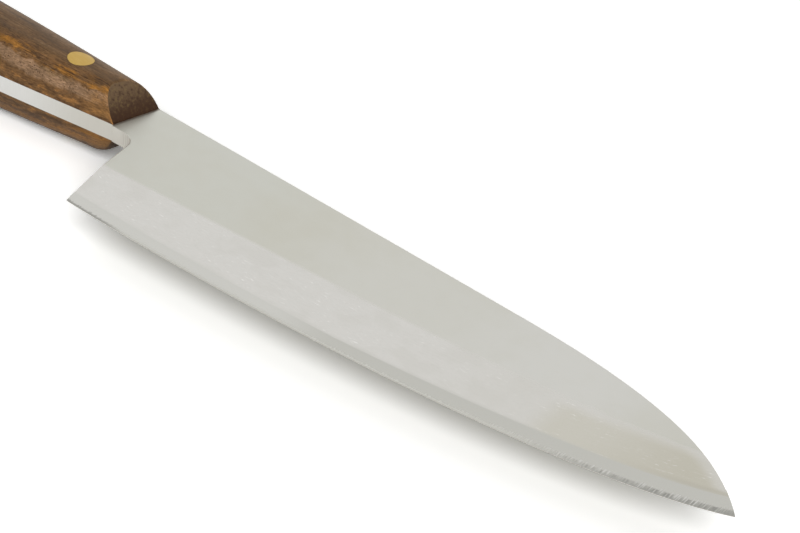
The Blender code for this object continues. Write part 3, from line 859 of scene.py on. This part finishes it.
def figured_wood(name, side):
    """Figured hardwood, with its bands laid round the scale and its pores along the grain.

    The level of a place is its share of the way round, from the belly's seam to the back's.
    """
    tones = bpy.context.scene.knife_wood
    wood = Finish(name)
    along, around = wood.uv("grain")
    x, y, z = wood.place()
    long_mm = along * MM
    right = side > 0
    shift, shoulder = (0.0, tones.tan) if right else (37.0, tones.rust_light)

    def grain(per_mm, per_turn, layer, detail=3, roughness=0.55, distortion=0.0):
        """Cloud stretched along the grain."""
        return wood.noise((long_mm * per_mm, around * per_turn, shift + layer), detail=detail,
                          roughness=roughness, distortion=distortion)

    level = (around + grain(0.035, 1.6, 0).span(0.25, 0.75, -0.035, 0.035)
             + grain(0.45, 22, 2).span(0.25, 0.75, -0.016, 0.016))
    front = long_mm.span(-15, -6)
    # The pale band on the shoulder is partly painted sheen, and the greyish back side is partly
    # painted grazing sheen.
    skin = wood.ramp(level, [(0.0, tones.seam), (0.045, tones.rust), (0.158, tones.rust),
                             (0.192, shoulder), (0.246, shoulder), (0.270, tones.bark),
                             (0.345, tones.bark), (0.40, tones.olive), (0.50, tones.olive),
                             (0.64, tones.smoke), (0.85, tones.olive), (1.0, tones.rust)])

    rosy = grain(0.55, 30, 24, roughness=0.6).span(0.52, 0.68, 0, 0.58)
    low = level.span(0.17, 0.12)
    blotch = grain(0.28, 16, 4, detail=4, roughness=0.6)
    glow = grain(0.20, 9, 12).span(0.34, 0.60, 0.3, 1.0) * level.band(0.03, 0.10, 0.26, 0.36)
    edge = level.band(0.25, 0.28, 0.35, 0.42)
    fleck = grain(0.20, 46, 6, detail=4, distortion=0.4)
    drift = grain(0.05, 5, 18).span(0.42, 0.58, 0.15, 0.52)
    bloom = tones.tan_light if right else tones.rust
    skin = wood.coats(skin, (level.band(0.18, 0.21, 0.235, 0.26) * rosy, bloom),
                      (low * blotch.span(0.50, 0.66), tones.rust_light),
                      (low * blotch.span(0.50, 0.36), tones.rust_dark),
                      (front * glow * 0.85, tones.amber),
                      (edge * fleck.span(0.48, 0.66) * drift, tones.gold))

    for centre, high, reach, width, strength, tone in STREAKS[side]:
        near = (long_mm - centre) / reach
        off = (level - high) / width
        streak = ((near * near + off * off).span(1.3, 0.2)
                  * fleck.span(0.30, 0.52, 0.25, strength))
        skin = wood.blend(streak, skin, getattr(tones, tone))

    crown = level.span(0.34, 0.42)
    dark = grain(0.12, 60, 8, detail=4)
    vein = grain(0.06, 20, 10, detail=5, roughness=0.65, distortion=0.3)
    warm = grain(0.09, 26, 20, detail=4)
    skin = wood.coats(skin, (edge * dark.span(0.50, 0.66, 0, 0.8), tones.pore),
                      (crown * vein.span(0.49, 0.36, 0, 0.85), tones.shadow),
                      (crown * vein.span(0.53, 0.68, 0, 0.6), tones.smoke),
                      (crown * warm.span(0.54, 0.70, 0, 0.6), tones.bark))

    fine = grain(0.8, 95, 16, roughness=0.65)
    flow = grain(0.10, 70, 22, detail=4, roughness=0.7)
    # Painted light: the left scale is painted a tenth lighter all over, and the back side of each
    # scale is painted lighter as a grazing sheen.
    lift = 1.0 if right else 1.10
    dusk = level.band(0.30, 0.36, 0.48, 0.56) * front
    shade = (fine.span(0.28, 0.72, 1.36, 0.66) * flow.span(0.3, 0.7, 1.20, 0.77)
             * level.span(0.44, 0.54, lift, lift * 1.07) * wood.between(dusk, 1.0, 0.86)
             * grain(0.14, 8, 26).span(0.3, 0.7, 0.84, 1.18))
    skin = wood.blend(1.0, skin, shade, "MULTIPLY")

    pores = wood.cells((long_mm * 1.25, around * 62, shift))
    depth = wood.between(level.span(0.20, 0.24), level.span(0.12, 0.22, 0.3, 0.95),
                         level.span(0.36, 0.25, 0.25, 0.95))
    specks = pores.span(0.34, 0.14) * grain(0.3, 18, 14).span(0.38, 0.56) * depth

    seam = place_of_blank().z + side * bpy.context.scene.knife_blade.stock / 2
    height = (z - seam) * side
    spots = wood.noise((x, y, z), scale=1100, detail=4, roughness=0.65)
    sheen = spots.span(0.50, 0.68) * height.span(0.001, 0.005, 0.2, 0.7)
    end = wood.coats(tones.end_dark, (height.span(0.0005, 0.0075), tones.end_top),
                     (sheen, tones.end_light), (spots.span(0.49, 0.34, 0, 0.7), tones.pore))
    skin = wood.coats(skin, (specks, tones.pore),
                      (wood.mark("facet") * (1.0 if right else 0.6), end),
                      (long_mm.span(-115.6, -117.4, 0, 0.85), end))
    wood.shade(Base_Color=skin, Roughness=vein.span(0.3, 0.7, 0.46, 0.56),
               Specular_IOR_Level=0.2)
    wood.bump(specks * -1.0 + fine * -0.5, WOOD_RELIEF)
    return wood.material


def sanded_brass():
    """Brass sanded flush with the wood."""
    tones = bpy.context.scene.knife_brass
    brass = Finish("sanded_brass")
    x, y, z = brass.place()
    lines = brass.noise((x * 500, y * 4200, z * 500), detail=3)
    cloud = brass.noise((x, y, z), scale=420)
    face = brass.blend(lines.span(0.4, 0.7, 0, 0.6), tones.face, tones.line)
    brass.shade(Base_Color=face, Metallic=1.0, Roughness=cloud.span(0.3, 0.7, 0.42, 0.50))
    brass.bump(lines, METAL_RELIEF)
    return brass.material


# Blade

NECK_ROWS = 9           # rows of the sheet across the tang
HOLLOW_STEPS = 9        # steps round the hollow of the choil
HEEL_STEPS = 4          # steps from there down to the ridge
BEVEL_PARTS = (0.2, 0.4, 0.6, 0.8)      # rows of the bevel between the ridge and the strip
STRIP_CREASE = 0.00018  # rows this far from the top of the strip keep its line sharp
HONED_CREASE = 0.00005  # the same above the honed edge
SPINE_ROOM = 0.0005     # the rows below the spine keep this far from it
TANG_START = 0.006      # the tang's even columns begin this far behind the front
TANG_STEPS = (20, 10)   # columns of the tang, and of its rounded butt
STRAIGHT_FROM = 0.030   # in front of here the columns stand square to the spine
FAN_PARTS = (0, 0.018, 0.05, 0.1, 0.17, 0.26, 0.37, 0.5, 0.65, 0.82)   # columns up to there
BLADE_COLUMNS = 125     # even columns from there to the point
POINT_REACH = 0.016     # length of the point, where columns crowd together
POINT_COLUMNS = 36      # columns there
POINT_CROWDING = 1.25   # power of their crowding
MERGE = 0.00001         # points closer than this are one
CORNER_ANGLE = math.radians(50)         # an edge that turns by more is a corner
CORNER_CLEAR = 0.0002   # eased corners end this far in front of the scales
POINT_CLEAR = 0.002     # and this far behind the tip
MIDDLE_CLEAR = 0.0003   # the joint in the middle of the rim isn't eased
RIM_TILT = 0.6          # faces whose normal rises by less than this are rim
HEEL_ROUNDS = 20        # rounds that settle a point on the heel line


def hollow_path(form):
    """Rim of the blank from the front of the scales round the choil to above the ridge."""
    step = form.size.neck_step
    step_x = form.front_line(-form.handle.size.front_height)
    middle, half_height, _ = form.handle.at(step_x)
    neck = middle - half_height - step
    corner = Vector((form.heel_line(neck), neck))
    down = (Vector((form.heel_x, -form.size.heel_depth)) - corner).normalized()
    back = Vector((-1, 0))
    half_angle = back.angle(down) / 2
    radius = form.size.choil_radius
    centre = corner + (back + down).normalized() * radius / math.sin(half_angle)
    reach = radius / math.tan(half_angle)
    first, last = corner + back * reach - centre, corner + down * reach - centre
    turn = first.angle(last)
    start = Vector((step_x + step, neck))
    path = [start, (start + centre + first) / 2]
    for index in range(HOLLOW_STEPS + 1):
        part = index / HOLLOW_STEPS
        arm = first * math.sin(turn * (1 - part)) + last * math.sin(turn * part)
        path.append(centre + arm / math.sin(turn))
    bottom = heel_point(form, lambda x: form.ridge(x) + form.size.shinogi_ease)
    for index in range(1, HEEL_STEPS + 1):
        path.append(path[HOLLOW_STEPS + 2].lerp(Vector(bottom), index / HEEL_STEPS))
    return path


def heel_point(form, height_at):
    """Point of the heel line at a height above the edge."""
    x = form.heel_x
    for _ in range(HEEL_ROUNDS):
        y = form.edge_at(x) + height_at(x)
        x = form.heel_line(y)
    return x, y


def bevel_rows(form):
    """Heights above the edge of the rows from the ridge down to the edge."""
    ease = form.size.shinogi_ease
    rows = [form.ridge, lambda x: form.ridge(x) - ease]
    rows += [lambda x, part=part: mix(form.ridge(x) - ease, form.strip(x), part)
             for part in BEVEL_PARTS]
    rows += [lambda x: form.strip(x) + STRIP_CREASE, form.strip,
             lambda x: form.strip(x) - STRIP_CREASE,
             lambda x: mix(form.strip(x), form.honed(x), 0.5),
             lambda x: form.honed(x) + HONED_CREASE, form.honed,
             lambda x: form.honed(x) / 2, lambda x: 0.0]
    return rows


def straight_column(form, x, flat_rows, rows):
    """Crossings of one column across the blade."""
    edge, depth = form.edge_at(x), form.spine_at(x) - form.edge_at(x)
    inner = max(depth - SPINE_ROOM, 0)
    lowest = form.ridge(x) + form.size.shinogi_ease
    heights = [depth]
    heights += [min(mix(inner, lowest, part), inner)
                for part in np.linspace(0, 1, flat_rows)]
    heights += [min(height_at(x), inner) for height_at in rows]
    return [(x, edge + height) for height in heights]


def blade_sheet(form):
    """Crossings of the sheet that the blank is made from, column by column from the butt."""
    columns = []
    handle = form.handle
    for behind, rounding in handle.stations(TANG_START, *TANG_STEPS)[::-1]:
        middle, half_height, _ = handle.at(-behind, rounding)
        columns.append([(-behind, middle + half_height * across)
                        for across in np.linspace(1, -1, NECK_ROWS + 1)])
    step_x = form.front_line(-handle.size.front_height)
    middle, half_height, _ = handle.at(step_x)
    belly = middle - half_height
    columns.append([(form.front_line(y), y) for y in np.linspace(0, belly, NECK_ROWS + 1)])
    tang_columns = len(columns)

    path = hollow_path(form)
    rows = bevel_rows(form)
    heel = [(form.front_line(y) + form.size.neck_step, y)
            for y in np.linspace(0, path[0].y, NECK_ROWS + 1)[:-1]]
    heel += [tuple(point) for point in path]
    flat_rows = len(heel) - 1
    target = straight_column(form, STRAIGHT_FROM, flat_rows, rows)
    for part in FAN_PARTS:
        column = [(mix(a[0], b[0], part), mix(a[1], b[1], part)) for a, b in zip(heel, target)]
        for height_at in rows:
            x = mix(heel_point(form, height_at)[0], STRAIGHT_FROM, part)
            column.append((x, form.edge_at(x) + height_at(x)))
        columns.append(column)
    left = 1 - np.linspace(0, 1, POINT_COLUMNS + 1)[1:]
    places = [*np.linspace(STRAIGHT_FROM, form.tip_x - POINT_REACH, BLADE_COLUMNS),
              *(form.tip_x - POINT_REACH * left ** POINT_CROWDING)]
    columns += [straight_column(form, float(x), flat_rows, rows) for x in places]
    return columns, tang_columns


def make_blank(form):
    """Lay out the blank as a sheet, cut it free below the tang and give it its thickness."""
    columns, tang_columns = blade_sheet(form)
    across, down = len(columns) - 1, len(columns[-1]) - 1
    clear_bench()
    bpy.ops.mesh.primitive_grid_add(x_subdivisions=across, y_subdivisions=down, size=1)
    blank = name_piece("ground_blade")

    def crossing(point):
        """Column and row of a place on the plain sheet."""
        return (point.x + 0.5) * across, (0.5 - point.y) * down

    def below_tang(face):
        """Faces behind the heel and below the tang."""
        column, row = crossing(face.calc_center_median())
        return column < tang_columns and row > NECK_ROWS

    pick(blank, "FACE", below_tang)
    bpy.ops.mesh.delete(type="FACE")
    mesh = opened(blank)
    for vertex in mesh.verts:
        column, row = crossing(vertex.co)
        vertex.co = (*columns[round(column)][round(row)], 0)
    bmesh.update_edit_mesh(blank.data)
    bpy.ops.mesh.select_all(action="SELECT")
    pull_out(form.half)
    return blank


def grind(blank, form):
    """Bring both faces to the thickness of the grind."""
    mesh = opened(blank)
    for vertex in mesh.verts:
        side = 1 if vertex.co.z > form.half / 2 else -1
        vertex.co.z = side * form.half_at(vertex.co.x, vertex.co.y)
    bmesh.update_edit_mesh(blank.data)
    bpy.ops.mesh.select_all(action="SELECT")
    bpy.ops.mesh.remove_doubles(threshold=MERGE)
    turn_outwards()


def ease_corners(blank, form):
    """Ease the corners of the spine, the choil and the heel line."""
    def within(x, y, z):
        """Places between the scales and the point, above the polished strip."""
        return (form.front_line(y) + CORNER_CLEAR <= x <= form.tip_x - POINT_CLEAR
                and y - form.edge_at(x) >= form.strip(x) * 0.9 and abs(z) >= MIDDLE_CLEAR)

    def corner(edge):
        """Edges between two sound faces that meet at a sharp angle."""
        if len(edge.link_faces) != 2:
            return False
        a, b = (face.normal for face in edge.link_faces)
        if a.length < 0.5 or b.length < 0.5 or a.angle(b) < CORNER_ANGLE:
            return False
        return all(within(*vertex.co) for vertex in edge.verts)

    pick(blank, "EDGE", corner)
    bpy.ops.mesh.bevel(offset=form.size.corner_ease, segments=2, profile=0.5,
                       clamp_overlap=False)


class KNIFE_OT_blade(Operator):
    """Lay out, grind and drill the blade with its full tang"""

    bl_idname = "knife.blade"
    bl_label = "Blade"

    def execute(self, context):
        scene = context.scene
        form = BladeForm(scene.knife_blade, HandleForm(scene.knife_handle))
        blade = make_blank(form)
        grind(blade, form)
        ease_corners(blade, form)
        rivet = scene.knife_rivets
        for x, y in rivet_places(form.handle, rivet):
            clear_bench()
            bpy.ops.mesh.primitive_cylinder_add(
                vertices=rivet.sides, radius=rivet.tube_radius + rivet.shank_gap,
                depth=2 * form.size.stock, location=(x, y, 0))
            drill_out(blade, bpy.context.object)
        map_piece(blade, "grind", lambda place: (place.x, form.zone(place.x, place.y)))
        mark_corners(blade, "rim", lambda face, place: float(abs(face.normal.z) < RIM_TILT))
        mark_corners(blade, "below_spine",
                     lambda face, place: form.spine_at(place.x) - place.y)
        set_in_place(blade, SMOOTH_STEEL)
        dress(blade, satin_steel(), "satin_steel", "blade")
        return {"FINISHED"}


# Handle scales

DOME_STEPS = 72         # steps of a scale's section
RIM_STEPS = 8           # steps of its rounded front rim
SCALE_STEPS = (64, 18)  # sections of a scale, and of its rounded butt
LEAN_ROUNDS = 16        # rounds that settle a leaning section on the curves
FACET_RIM = 0.0004      # narrow rim round the slanting front
FACET_MATCH = 0.985     # faces turned like the front by this cosine are end grain
DRILL_HEIGHT = 0.010    # the wide part of the drill
OVERCUT = 0.001         # the drill goes this far past the wood


def dome_section(form, behind, rounding, lean, drop, narrowing):
    """Section of a scale from the belly to the back, leaning like the front."""
    slant, tilt = math.tan(form.size.front_slant), math.tan(form.size.facet_lean)
    section = []
    for step in range(DOME_STEPS + 1):
        across = -math.cos(math.pi * step / DOME_STEPS)
        x = -behind
        for _ in range(LEAN_ROUNDS):
            middle, half_height, thick = form.at(x, rounding)
            y = middle + half_height * (1 - narrowing) * across
            up = thick * (1 - drop) * form.dome(across)
            x = lean * (y * slant - up * tilt) - behind
        section.append((x, y, up))
    return section


def scale_sections(form, rim, drop, narrowing):
    """Sections of a scale from its slanting front to its rounded butt."""
    sections = []
    for step in range(RIM_STEPS, 0, -1):
        turn = math.pi / 2 * step / RIM_STEPS
        part = 1 - math.cos(turn)
        sections.append(dome_section(form, rim * (1 - math.sin(turn)), 1, 1, drop * part,
                                     narrowing * part))
    for behind, rounding in form.stations(rim, *SCALE_STEPS):
        lean = max(1 - (behind - rim) / form.size.lean_fade, 0)
        sections.append(dome_section(form, behind, rounding, lean, 0, 0))
    return sections


def facet_normal(form, side):
    """Direction in which the slanting front of a scale faces."""
    return Vector((1, -math.tan(form.size.front_slant),
                   side * math.tan(form.size.facet_lean))).normalized()


def make_scale(name, side, form, half, rim, rivet):
    """Draw out one scale, close its front with a clean facet and drill it for the rivets."""
    scale = draw_out(name, [[(x, y, side * (half + up)) for x, y, up in section]
                            for section in scale_sections(form, *rim)])
    normal = facet_normal(form, side)
    pick(scale, "FACE",
         lambda face: len(face.verts) > 8 and face.normal.dot(normal) > SQUARE_ON)
    bpy.ops.mesh.inset(thickness=FACET_RIM)
    for x, y in rivet_places(form, rivet):
        drill_out(scale, make_drill(x, y, side, half, rivet))
    return scale


def make_drill(x, y, side, half, rivet):
    """Stepped drill for the counterbore of a head and the hole of its shank."""
    clear_bench()
    wide = rivet.head_radius + rivet.head_gap
    bpy.ops.mesh.primitive_cylinder_add(
        vertices=rivet.sides, radius=wide, depth=DRILL_HEIGHT,
        location=(x, y, side * (half + rivet.seat_height + DRILL_HEIGHT / 2)))
    drill = name_piece("drill")
    pick(drill, "FACE", lambda face: face.normal.z * side < -SQUARE_ON)
    bpy.ops.mesh.inset(thickness=wide - rivet.tube_radius - rivet.shank_gap)
    pull_out(-side * (rivet.seat_height + OVERCUT))
    bpy.ops.object.mode_set(mode="OBJECT")
    return drill


class KNIFE_OT_scales(Operator):
    """Shape the two wooden scales and drill them for the rivets"""

    bl_idname = "knife.scales"
    bl_label = "Handle scales"

    def execute(self, context):
        scene = context.scene
        size = scene.knife_handle
        form = HandleForm(size)
        half = scene.knife_blade.stock / 2
        rims = {"right": (1, (size.rim_right, size.rim_right_drop, size.rim_right_narrow)),
                "left": (-1, (size.rim_left, size.rim_left_drop, size.rim_left_narrow))}
        for name, (side, rim) in rims.items():
            scale = make_scale(name + "_scale", side, form, half, rim, scene.knife_rivets)
            normal = facet_normal(form, side)
            map_piece(scale, "grain",
                      lambda place: (place.x, math.acos(-form.across(place.x, place.y))
                                     / math.pi))
            mark_corners(scale, "facet",
                         lambda face, place: float(face.normal.dot(normal) > FACET_MATCH))
            set_in_place(scale, SMOOTH_HANDLE)
            dress(scale, figured_wood(name + "_scale_wood", side), "dark_hardwood",
                  "scale_" + name)
        return {"FINISHED"}


# Rivets

HEAD_HEIGHT = 0.002     # height of a head before it is sanded to the wood
HEAD_EDGE = 0.00008     # its edge is eased by this
HEAD_RINGS = 11         # rings inside that edge, which follow the wood
HEAD_RING = 0.0003      # width of a ring


def rivet_places(form, rivet):
    """Places of the rivets along the middle of the handle."""
    places = [-rivet.first - rivet.pitch * index for index in range(len(RIVETS))]
    return [(x, form.at(x)[0]) for x in places]


def make_rivet_half(name, side, x, y, form, half, rivet):
    """Turn one half with its head, sand it flush and give it its tube or its pin."""
    seat = half + rivet.seat_height + rivet.shank_gap
    middle = seat + HEAD_HEIGHT / 2
    clear_bench()
    bpy.ops.mesh.primitive_cylinder_add(vertices=rivet.sides, radius=rivet.head_radius,
                                        depth=HEAD_HEIGHT, location=(x, y, side * middle))
    piece = name_piece(name)
    bpy.ops.object.mode_set(mode="OBJECT")
    bpy.ops.object.transform_apply(location=True, rotation=True, scale=True)
    bpy.ops.object.mode_set(mode="EDIT")
    pick(piece, "FACE", lambda face: face.normal.z * side > SQUARE_ON)
    for width in (HEAD_EDGE, *[HEAD_RING] * HEAD_RINGS):
        bpy.ops.mesh.inset(thickness=width)
    mesh = opened(piece)
    for vertex in mesh.verts:
        if vertex.co.z * side > middle:
            up = form.top(vertex.co.x, vertex.co.y) + rivet.proud
            reach = math.hypot(vertex.co.x - x, vertex.co.y - y)
            if reach > rivet.head_radius - HEAD_EDGE / 2:
                up -= HEAD_EDGE
            vertex.co.z = side * (half + up)
    bmesh.update_edit_mesh(piece.data)

    shank = 2 * seat - rivet.end_gap
    shank_radius = rivet.tube_radius if side > 0 else rivet.pin_radius
    pick(piece, "FACE", lambda face: face.normal.z * side < -SQUARE_ON)
    bpy.ops.mesh.inset(thickness=rivet.head_radius - shank_radius)
    pull_out(-side * shank)
    if side > 0:
        bpy.ops.mesh.inset(thickness=rivet.tube_radius - rivet.bore_radius)
        pull_out(side * shank)
    return piece


class KNIFE_OT_rivets(Operator):
    """Turn the two halves of each rivet and sand their heads flush with the wood"""

    bl_idname = "knife.rivets"
    bl_label = "Rivets"

    def execute(self, context):
        scene = context.scene
        form = HandleForm(scene.knife_handle)
        half = scene.knife_blade.stock / 2
        rivet = scene.knife_rivets
        brass = sanded_brass()
        for place_name, (x, y) in zip(RIVETS, rivet_places(form, rivet)):
            for side, kind in ((1, "tube"), (-1, "pin")):
                piece = make_rivet_half(place_name + "_rivet_" + kind, side, x, y, form, half,
                                        rivet)
                set_in_place(piece, SMOOTH_HANDLE)
                dress(piece, brass, "brass", "rivet_" + place_name + "_" + kind + "_half")
        return {"FINISHED"}


# Stage

def floor_finish(settings):
    """Plain white floor that keeps the knife's shadow."""
    material = bpy.data.materials.new("white_floor")
    material.use_nodes = True
    floor = Nodes(material.node_tree)
    floor.tree.nodes.clear()
    tone = floor.coats([settings.floor_mirrored] * 3,
                       (floor.ray("Diffuse Depth"), settings.bounce),
                       (floor.ray("Is Camera Ray"), [settings.floor_seen] * 3))
    surface = floor.take("ShaderNodeBsdfDiffuse", 0, {"Color": tone})
    floor.node("ShaderNodeOutputMaterial", {"Surface": surface})
    return material


def light_world(settings):
    """Plain soft light all round, with a white backdrop and pale walls."""
    world = bpy.data.worlds.new("studio")
    bpy.context.scene.world = world
    world.use_nodes = True
    studio = Nodes(world.node_tree)
    studio.tree.nodes.clear()
    mirrored = studio.take("ShaderNodeMath", 0,
                           {0: studio.ray("Is Glossy Ray"), 1: studio.ray("Diffuse Depth")},
                           operation="SUBTRACT", use_clamp=True)
    tone = studio.coats([settings.light * part for part in settings.light_tint],
                        (mirrored, [settings.walls] * 3),
                        (studio.ray("Is Camera Ray"), (1, 1, 1)))
    backdrop = studio.take("ShaderNodeBackground", 0, {"Color": tone})
    studio.node("ShaderNodeOutputWorld", {"Surface": backdrop})


def hang_lamp(name, level, tilt, azimuth, width):
    """Broad soft light that gives the floor its share of the light."""
    clear_bench()
    bpy.ops.object.light_add(type="SUN", location=(0, 0, 1))
    lamp = bpy.context.object
    lamp.name = name
    lamp.data.energy = level * math.pi / math.cos(tilt)
    lamp.data.angle = width
    lamp.visible_glossy = False
    towards = Vector((math.sin(tilt) * math.cos(azimuth), math.sin(tilt) * math.sin(azimuth),
                      math.cos(tilt)))
    lamp.rotation_euler = towards.to_track_quat("Z", "Y").to_euler()


def aim_camera(settings):
    """Camera at the photograph's place."""
    lift, turn, roll = settings.elevation, settings.azimuth, settings.roll
    ahead = Vector((math.cos(lift) * math.cos(turn), math.cos(lift) * math.sin(turn),
                    -math.sin(lift)))
    level = Vector((math.sin(turn), -math.cos(turn), 0))
    upward = level.cross(ahead)
    right = level * math.cos(roll) + upward * math.sin(roll)
    upward = upward * math.cos(roll) - level * math.sin(roll)
    target = Vector((*settings.target, 0)) + place_of_blank()
    position = target - ahead * settings.distance
    clear_bench()
    bpy.ops.object.camera_add(location=position)
    camera = bpy.context.object
    camera.name = "camera"
    rows = [(right[i], upward[i], -ahead[i]) for i in range(3)]
    camera.rotation_euler = Matrix(rows).to_euler()
    camera.data.lens = settings.lens
    camera.data.sensor_width = 36
    camera.data.clip_start = 0.01
    camera.data.clip_end = 50
    bpy.context.scene.camera = camera


class KNIFE_OT_stage(Operator):
    """Lay the floor, light it and set up the camera"""

    bl_idname = "knife.stage"
    bl_label = "Stage"

    def execute(self, context):
        settings = context.scene.knife_stage
        context.scene.view_settings.view_transform = "Standard"
        clear_bench()
        bpy.ops.mesh.primitive_plane_add(size=settings.floor_size)
        floor = bpy.context.object
        floor.name = "floor"
        floor.data.materials.append(floor_finish(settings))
        light_world(settings)
        hang_lamp("soft_box", settings.key, settings.key_tilt, settings.key_azimuth,
                  settings.key_width)
        hang_lamp("screen", settings.back, settings.back_tilt, settings.back_azimuth,
                  settings.back_width)
        aim_camera(settings)
        return {"FINISHED"}


class KNIFE_PT_bench(Panel):
    """Sizes, colours and pieces of the knife"""

    bl_idname = "KNIFE_PT_bench"
    bl_label = "Deba knife"
    bl_space_type = "VIEW_3D"
    bl_region_type = "UI"
    bl_category = "Knife"

    def draw(self, context):
        for operator in OPERATORS:
            self.layout.operator(operator.bl_idname)
        for title in GROUPS:
            box = self.layout.box()
            group = getattr(context.scene, title)
            box.label(text=type(group).__doc__)
            for name in type(group).__annotations__:
                box.prop(group, name)


GROUPS = {
    "knife_blade": BladeSizes, "knife_handle": HandleSizes, "knife_rivets": RivetSizes,
    "knife_steel": SteelColours, "knife_wood": WoodColours, "knife_brass": BrassColours,
    "knife_stage": StageSettings,
}
OPERATORS = (KNIFE_OT_blade, KNIFE_OT_scales, KNIFE_OT_rivets, KNIFE_OT_stage)
CLASSES = (*GROUPS.values(), *OPERATORS, KNIFE_PT_bench)


def register():
    """Make the operators, the panel and the scene's settings known."""
    for known in CLASSES:
        bpy.utils.register_class(known)
    for title, group in GROUPS.items():
        setattr(bpy.types.Scene, title, PointerProperty(type=group))


def unregister():
    """Take them away again."""
    for title in GROUPS:
        delattr(bpy.types.Scene, title)
    for known in reversed(CLASSES):
        bpy.utils.unregister_class(known)


def main():
    """Make every piece in order."""
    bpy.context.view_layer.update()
    register()
    bpy.ops.knife.blade()
    bpy.ops.knife.scales()
    bpy.ops.knife.rivets()
    bpy.ops.knife.stage()
    clear_bench()


if __name__ == "__main__":
    main()
